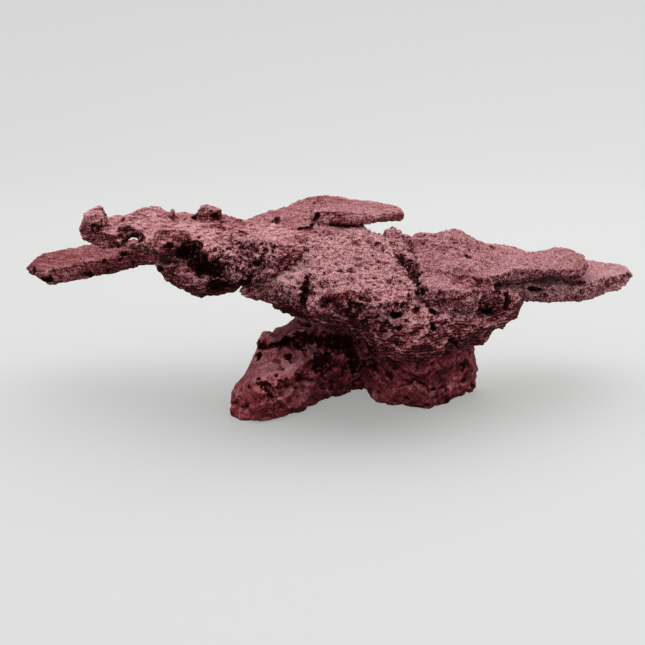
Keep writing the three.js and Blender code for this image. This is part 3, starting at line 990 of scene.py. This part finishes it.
def stone_material(name, colours, level, contrast, speckled, tint):
    """Matt dyed stone. One tone, from about 0 in deep pits to 1.4 on dusty crests that face up, runs through
    four colours: near-black painted shade, dye, rose and chalky dust. The tone paints shade into pits,
    hollows, caves and faces that don't point up, and light onto faces that do, besides dust. Level, contrast
    and speckled set the tone of a kind of stone."""
    material = bpy.data.materials.new(name)
    shader = ShaderNodes(material)
    place = shader.node("ShaderNodeTexCoord", output="Object")
    broad = shader.speckle(place, 30 * MM, 2)
    middle = shader.speckle(place, 5 * MM, 3)
    grain = shader.speckle(place, 1.4 * MM, 2)
    fine = shader.speckle(place, 0.7 * MM, 1)
    layered = shader.attribute("layered")
    scale = 2 * math.pi / (WAVE_RATE * LINE_STEP)
    wavy = {"Vector": place, "Scale": scale, "Distortion": 14, "Detail Scale": 0.25}
    lines = shader.node("ShaderNodeTexWave", {"bands_direction": "Z"}, wavy, output="Fac")
    patch = shader.between(shader.speckle(place, 14 * MM, 1), 0.4, 0.65)
    # Pin pores, which only the material makes: the colour draws them darker as painted shade, and the bump
    # dents them.
    pin_pores = patch * shader.between(shader.speckle(place, 2.2 * MM, 1, 0.8), 0.56, 0.66)

    up = shader.attribute("up")
    # Painted light and shade in the tone: faces that point up lighter, as dust and painted light, sides and
    # undersides darker; hollows, caves and the insides of hollows darker as painted shade; crests lighter.
    tone = 0.44 * up + 0.2 * shader.attribute("crest") - 0.12 * shader.attribute("hollow")
    tone = tone - 0.3 * shader.attribute("cave") - 0.8 * shader.attribute("deep") + 0.6 * (broad - 0.5)
    spots = 0.7 * (middle - 0.5) + 1.2 * (grain - 0.5) + 2.4 * (fine - 0.5) - 0.2 * pin_pores
    tone = tone + speckled * (1 - 0.7 * layered) * (1 - 0.4 * up) * spots
    tone = tone + layered * (0.4 * (lines - 0.5) - 0.15)
    # The rock's and its patches' amounts lift or lower the tone: partly dust, partly painted light and shade.
    tone = level + shader.attribute("dust_and_painted_shade") + contrast * tone
    colour = shader.mixed(shader.between(tone, *TO_DYE), (*colours.deep, 1), (*colours.dye, 1))
    colour = shader.mixed(shader.between(tone, *TO_ROSE), colour, (*colours.rose, 1))
    colour = shader.mixed(shader.between(tone, *TO_DUST), colour, (*colours.dust, 1))
    colour = shader.mixed(1.0, colour, (*tint, 1), "MULTIPLY")

    pitted = 0.6 * middle + grain + 0.6 * fine - 0.5 * pin_pores
    pitted = (1 - 0.4 * layered) * pitted + 0.5 * layered * lines
    relief = {"Strength": 1.0, "Distance": BUMP_DEPTH * speckled, "Height": pitted}
    bump = shader.node("ShaderNodeBump", {}, relief, output="Normal")
    matt = {"Roughness": STONE_ROUGHNESS, "Specular IOR Level": STONE_GLOSS}
    shader.surface({"Base Color": colour, **matt, "Normal": bump})


# ---------------------------------------------------------------- operators


def settings():
    """The groups of settings: skin, colour and stage."""
    scene = bpy.context.scene
    return scene.reef_rock_skin, scene.reef_rock_colour, scene.reef_rock_stage


class REEF_OT_stone(bpy.types.Operator):
    """Make the materials of the three kinds of stone"""

    bl_idname = "reef.stone"
    bl_label = "Stone Materials"

    def execute(self, context):
        _, colours, _ = settings()
        for slot, look in STONES.items():
            stone_material(slot + "_stone", colours, *look)
        return {"FINISHED"}


def carve_rocks(nodes, stone):
    """Carves rocks of one kind of stone."""
    skin, _, _ = settings()
    for node in nodes:
        carve_rock(node, stone, skin.step, skin.relief)


class REEF_OT_core(bpy.types.Operator):
    """Carve the core rock: a crumbly slab over a layered keel"""

    bl_idname = "reef.core"
    bl_label = "Core Rock"

    def execute(self, context):
        carve_rocks(["core_rock"], "rough_rock")
        return {"FINISHED"}


class REEF_OT_arm(bpy.types.Operator):
    """Carve the long left arm with its caves"""

    bl_idname = "reef.arm"
    bl_label = "Left Arm"

    def execute(self, context):
        carve_rocks(["arm_left"], "rough_rock")
        return {"FINISHED"}


class REEF_OT_shelves(bpy.types.Operator):
    """Carve the thin shelf rocks and the wedge under the back one"""

    bl_idname = "reef.shelves"
    bl_label = "Shelf Rocks"

    def execute(self, context):
        carve_rocks(["shelf_right", "shelf_right_back", "shelf_left_back"], "shelf_rock")
        carve_rocks(["shelf_back_left", "shelf_back_right", "wedge_back"], "shelf_rock")
        return {"FINISHED"}


class REEF_OT_feet(bpy.types.Operator):
    """Carve the two feet"""

    bl_idname = "reef.feet"
    bl_label = "Feet"

    def execute(self, context):
        carve_rocks(["foot_left", "foot_right"], "foot_rock")
        return {"FINISHED"}


class REEF_OT_stage(bpy.types.Operator):
    """Lay the seamless floor, hang the lights and set the camera"""

    bl_idname = "reef.stage"
    bl_label = "Stage"

    def execute(self, context):
        _, _, stage = settings()
        add_floor(stage.floor)
        add_lights(stage.key, stage.sky)
        add_camera()
        return {"FINISHED"}


# ---------------------------------------------------------------- stage

FLOOR_RADIUS = 1.2  # of the flat part
FLOOR_BEND = 1.1  # radius of the quarter circle round it
FLOOR_BEND_STEPS = 24
FLOOR_SIDES = 128
FLOOR_ROUGHNESS = 0.85
FLOOR_GLOW = 0.8  # the pale floor is lit from below a little, so that shadows on it stay faint
KEY = ((0.3, 0.35, 1.5), 3.0, 1.0)  # place, diameter and share of the key light's power
FILL = ((-0.7, -1.5, 1.0), 1.0, 0.05)
CAMERA_PLACE = (-0.0115, -0.6885, 0.2386)
CAMERA_TILT = math.radians(75)  # up from straight down, so it looks 15 degrees below the horizon
FRAME_HALF = 322.5  # half the picture's width in pixels
FOCAL_LENGTH = 1055  # in pixels


def add_floor(colour):
    """A seamless floor: a flat disc whose rim bends up in a quarter circle, turned round Z."""
    turn = np.linspace(0, math.pi / 2, FLOOR_BEND_STEPS)
    radii = FLOOR_RADIUS + FLOOR_BEND * np.sin(turn)
    heights = FLOOR_BEND * (1 - np.cos(turn))
    angle = np.arange(FLOOR_SIDES) * 2 * math.pi / FLOOR_SIDES
    across = radii[:, None] * np.cos(angle)
    along = radii[:, None] * np.sin(angle)
    rise = np.broadcast_to(heights[:, None], across.shape)
    points = np.stack([across, along, rise], axis=2).reshape(-1, 3)
    ring = np.arange(FLOOR_BEND_STEPS - 1)[:, None] * FLOOR_SIDES
    side = np.arange(FLOOR_SIDES)
    after = (side + 1) % FLOOR_SIDES
    outer = ring + FLOOR_SIDES
    faces = np.stack([ring + side, outer + side, outer + after, ring + after], axis=2)
    mesh = bpy.data.meshes.new("floor")
    mesh.from_pydata(points.tolist(), [], [side.tolist(), *faces.reshape(-1, 4).tolist()])
    mesh.shade_smooth()
    material = bpy.data.materials.new("floor")
    paint = {"Base Color": (*colour, 1), "Roughness": FLOOR_ROUGHNESS}
    glow = {"Emission Color": (*colour, 1), "Emission Strength": FLOOR_GLOW}
    ShaderNodes(material).surface({**paint, **glow})
    mesh.materials.append(material)
    floor = added("floor", mesh)


def add_lights(key_power, sky_strength):
    """One large soft light overhead, a weaker one from the front left, and an even sky."""
    for name, (place, size, share) in {"key": KEY, "fill": FILL}.items():
        light = bpy.data.lights.new(name, "AREA")
        light.shape = "DISK"
        light.size = size
        light.energy = share * key_power
        lamp = added(name, light)
        lamp.location = place
        towards = -np.array(place)
        flat = math.hypot(towards[0], towards[1])
        turn = math.atan2(towards[0], -towards[1]) + math.pi
        lamp.rotation_euler = (math.atan2(flat, -towards[2]), 0, turn)
    world = bpy.data.worlds.new("sky")
    bpy.context.scene.world = world
    world.use_nodes = True
    background = world.node_tree.nodes["Background"]
    background.inputs["Color"].default_value = (1.0, 1.0, 1.0, 1)
    background.inputs["Strength"].default_value = sky_strength


def add_camera():
    """A short telephoto view from the front, tilted 15 degrees down."""
    lens = bpy.data.cameras.new("camera")
    lens.angle = 2 * math.atan(FRAME_HALF / FOCAL_LENGTH)
    camera = added("camera", lens)
    camera.location = CAMERA_PLACE
    camera.rotation_euler = (CAMERA_TILT, 0, 0)
    bpy.context.scene.camera = camera
    bpy.context.scene.view_settings.view_transform = "Standard"


# ---------------------------------------------------------------- add-on

OPERATORS = (REEF_OT_stone, REEF_OT_core, REEF_OT_arm, REEF_OT_shelves, REEF_OT_feet, REEF_OT_stage)


class REEF_PT_panel(bpy.types.Panel):
    """The scape's settings and the steps that build it"""

    bl_idname = "REEF_PT_panel"
    bl_label = "Reef Rock"
    bl_space_type = "VIEW_3D"
    bl_region_type = "UI"
    bl_category = "Reef Rock"

    def draw(self, context):
        for group in settings():
            box = self.layout.box()
            for name in group.__annotations__:
                box.prop(group, name)
        for operator in OPERATORS:
            self.layout.operator(operator.bl_idname)


GROUPS = {
    "reef_rock_skin": ReefSkinSettings,
    "reef_rock_colour": ReefColourSettings,
    "reef_rock_stage": ReefStageSettings,
}


def register():
    """Adds the classes and the scene's settings."""
    for cls in (*GROUPS.values(), *OPERATORS, REEF_PT_panel):
        bpy.utils.register_class(cls)
    for name, group in GROUPS.items():
        setattr(bpy.types.Scene, name, PointerProperty(type=group))


def unregister():
    """Takes them away again, last first."""
    for name in GROUPS:
        delattr(bpy.types.Scene, name)
    for cls in reversed((*GROUPS.values(), *OPERATORS, REEF_PT_panel)):
        bpy.utils.unregister_class(cls)


def main():
    """Builds the whole scape."""
    register()
    bpy.ops.reef.stage()
    bpy.ops.reef.stone()
    bpy.ops.reef.core()
    bpy.ops.reef.arm()
    bpy.ops.reef.shelves()
    bpy.ops.reef.feet()


if __name__ == "__main__":
    main()
